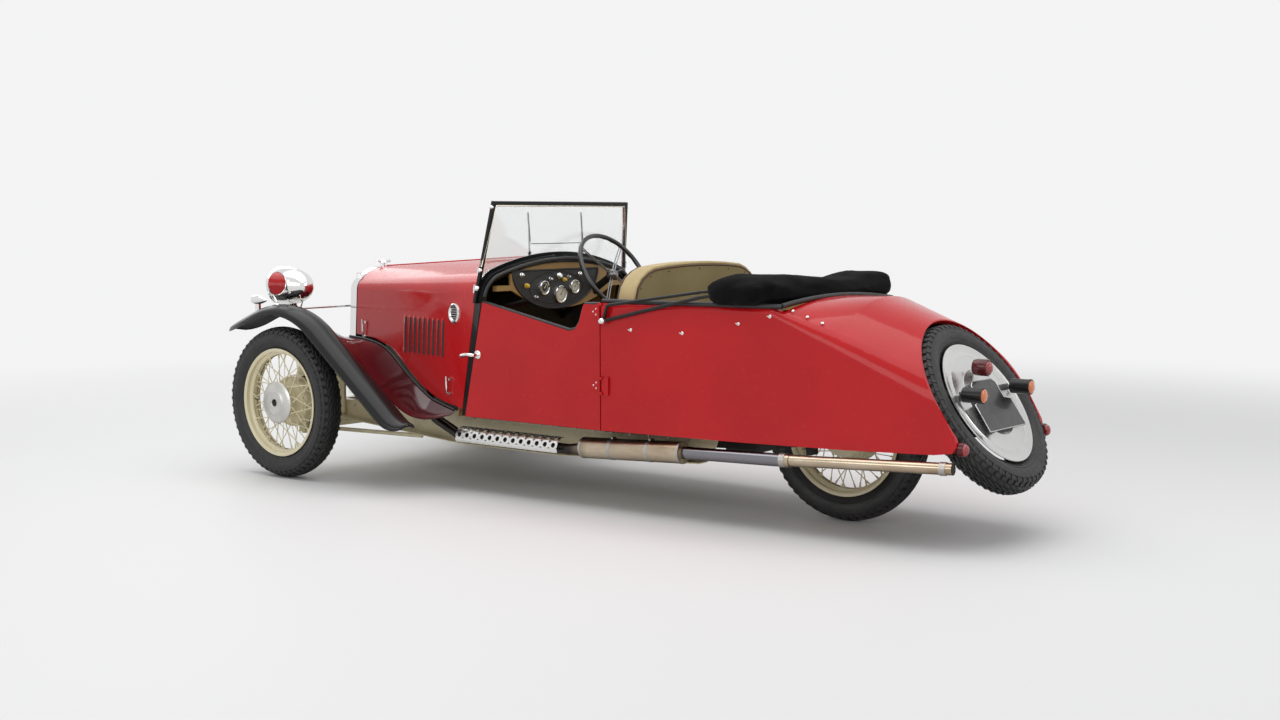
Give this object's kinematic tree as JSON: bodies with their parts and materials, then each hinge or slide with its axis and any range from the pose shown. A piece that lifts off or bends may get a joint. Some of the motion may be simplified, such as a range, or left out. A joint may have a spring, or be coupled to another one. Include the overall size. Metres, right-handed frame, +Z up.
{
  "type": "three-wheeled open touring car",
  "caption": "Open four-seat three-wheeled tourer with two steered wire wheels in front, one driven wheel behind and a spare set into its tapering tail.",
  "frame": {"origin": "on the ground under the middle of the car's bounding box", "axes": "+X towards the front of the car, +Y to its left, +Z up"},
  "size_m": [3.6325, 1.408, 1.215],
  "materials": {
    "body_red": "gloss",
    "wing_black": "gloss",
    "maroon": "gloss",
    "cream": "satin",
    "chrome": "polished",
    "aluminium": "satin",
    "black_trim": "satin",
    "engine_grey": "matt",
    "steel": "worn",
    "tyre": "matt",
    "glass": "clear",
    "lamp_glass": "clear",
    "amber": "clear",
    "ruby": "clear",
    "tan_leather": "satin",
    "hood_cloth": "matt",
    "wood_floor": "matt",
    "dial": "satin",
    "plate_black": "matt"
  },
  "bodies": {
    "car": {"amber_lenses": "amber", "body_tub": "body_red", "chassis_frame": "cream", "dashboard": "black_trim", "drive_line": "black_trim", "engine_block": "engine_grey", "exhaust": "steel", "firewall": "wood_floor", "floor_pan": "wood_floor", "front_axle": "cream", "front_seat": "tan_leather", "front_springs": "black_trim", "headlamp_glasses": "lamp_glass", "headlamps": "chrome", "heat_shield": "chrome", "hood_bundle": "hood_cloth", "hood_irons": "black_trim", "instruments": "dial", "lamp_housings": "black_trim", "number_plate": "plate_black", "pedals_and_levers": "chrome", "radiator_core": "black_trim", "radiator_shell": "chrome", "rear_fork": "cream", "rear_seat": "tan_leather", "rear_springs": "black_trim", "red_lamps": "ruby", "scuttle": "black_trim", "side_lamps": "chrome", "spare_carrier": "cream", "spare_cover": "aluminium", "spare_tyre": "tyre", "steering_column": "black_trim", "valances": "maroon", "windscreen_frame": "black_trim", "windscreen_glass": "glass", "wing_left": "wing_black", "wing_mirrors": "chrome", "wing_right": "wing_black", "wipers": "black_trim"},
    "knuckle_left": {"knuckle_left": "cream"},
    "knuckle_right": {"knuckle_right": "cream"},
    "steering_link": {"track_rod": "cream"},
    "front_wheel_left": {"tyre_front_left": "tyre", "wheel_front_left": "cream", "hub_cover_left": "aluminium"},
    "front_wheel_right": {"tyre_front_right": "tyre", "wheel_front_right": "cream", "hub_cover_right": "aluminium"},
    "rear_wheel": {"tyre_rear": "tyre", "wheel_rear": "cream"},
    "steering_hand_wheel": {"steering_wheel": "black_trim"},
    "left_door": {"door_left": "body_red", "door_handle_left": "chrome"},
    "right_door": {"door_right": "body_red", "door_handle_right": "chrome"},
    "left_bonnet": {"bonnet_left": "body_red"},
    "right_bonnet": {"bonnet_right": "body_red"}
  },
  "joints": [
    {"name": "steer_left", "type": "hinge", "parent": "car", "child": "knuckle_left", "pos_m": [1.445, 0.53, 0.335], "axis": [0, 0, 1], "range_deg": [-25, 25]},
    {"name": "steer_right", "type": "hinge", "parent": "car", "child": "knuckle_right", "pos_m": [1.445, -0.53, 0.335], "axis": [0, 0, 1], "range_deg": [-25, 25]},
    {"name": "track_rod_pivot", "type": "hinge", "parent": "knuckle_left", "child": "steering_link", "pos_m": [1.575, 0.53, 0.25], "axis": [0, 0, 1], "range_deg": [-25, 25]},
    {"name": "steering_turn", "type": "hinge", "parent": "car", "child": "steering_hand_wheel", "pos_m": [0.248, -0.215, 0.905], "axis": [-0.8387, 0, 0.5446], "range_deg": [-90, 90]},
    {"name": "spin_front_left", "type": "hinge", "parent": "knuckle_left", "child": "front_wheel_left", "pos_m": [1.445, 0.635, 0.335], "axis": [0, 1, 0], "continuous": true},
    {"name": "spin_front_right", "type": "hinge", "parent": "knuckle_right", "child": "front_wheel_right", "pos_m": [1.445, -0.635, 0.335], "axis": [0, 1, 0], "continuous": true},
    {"name": "spin_rear", "type": "hinge", "parent": "car", "child": "rear_wheel", "pos_m": [-1.07, 0, 0.335], "axis": [0, 1, 0], "continuous": true},
    {"name": "door_left_swing", "type": "hinge", "parent": "car", "child": "left_door", "pos_m": [-0.245, 0.479, 0.57], "axis": [0, 0, 1], "range_deg": [0, 65]},
    {"name": "door_right_swing", "type": "hinge", "parent": "car", "child": "right_door", "pos_m": [-0.245, -0.479, 0.57], "axis": [0, 0, -1], "range_deg": [0, 65]},
    {"name": "bonnet_left_lift", "type": "hinge", "parent": "car", "child": "left_bonnet", "pos_m": [0.945, 0.0015, 0.95109], "axis": [0.9982, 0, -0.0604], "range_deg": [0, 55]},
    {"name": "bonnet_right_lift", "type": "hinge", "parent": "car", "child": "right_bonnet", "pos_m": [0.945, -0.0015, 0.95109], "axis": [-0.9982, 0, 0.0604], "range_deg": [0, 55]}
  ],
  "couplings": [
    {"joint": "steer_right", "follows": "steer_left", "ratio": 1},
    {"joint": "track_rod_pivot", "follows": "steer_left", "ratio": -1},
    {"joint": "steering_turn", "follows": "steer_left", "ratio": 3.6}
  ]
}
